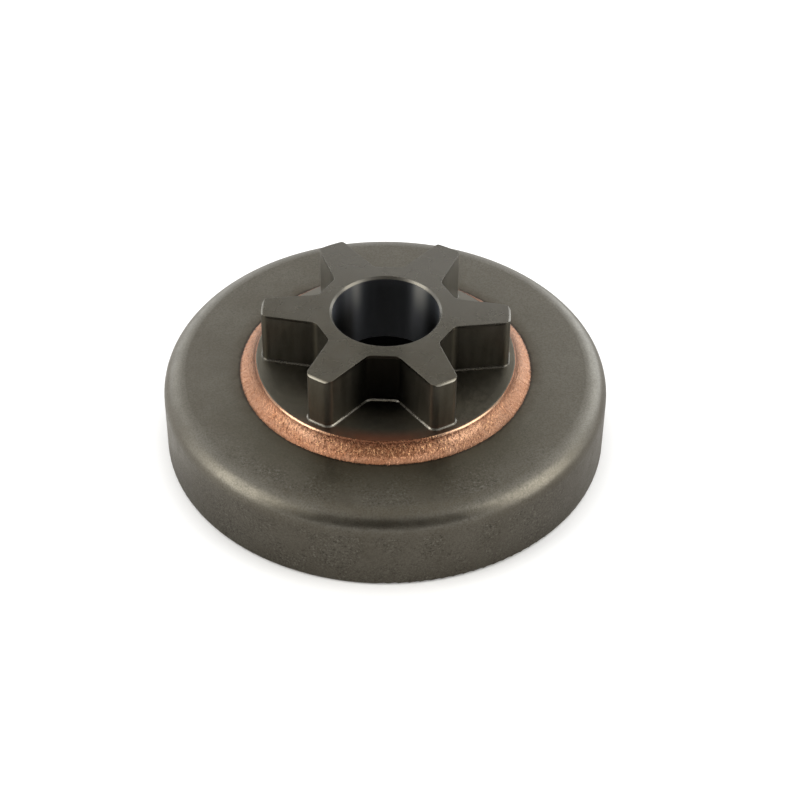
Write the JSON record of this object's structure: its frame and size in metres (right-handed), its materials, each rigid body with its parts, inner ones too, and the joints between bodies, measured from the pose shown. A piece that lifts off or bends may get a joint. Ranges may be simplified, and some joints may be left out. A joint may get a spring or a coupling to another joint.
{
  "type": "chainsaw spur sprocket",
  "caption": "Chainsaw clutch drum with a spur sprocket brazed to its face and a bore for a needle cage.",
  "frame": {"origin": "centre of the drum's open rim, where the part rests", "axes": "+Z along the bore from the open rim to the teeth, +X through the middle of one tooth"},
  "size_m": [0.059, 0.059, 0.0204],
  "materials": {
    "drum_steel": "oxidised pressed steel",
    "sprocket_steel": "dark machined steel",
    "braze_copper": "grainy copper braze"
  },
  "bodies": {
    "root": {"clutch_drum": "drum_steel", "spur_sprocket": "sprocket_steel", "braze_ring": "braze_copper", "hub_braze": "braze_copper"}
  },
  "joints": []
}
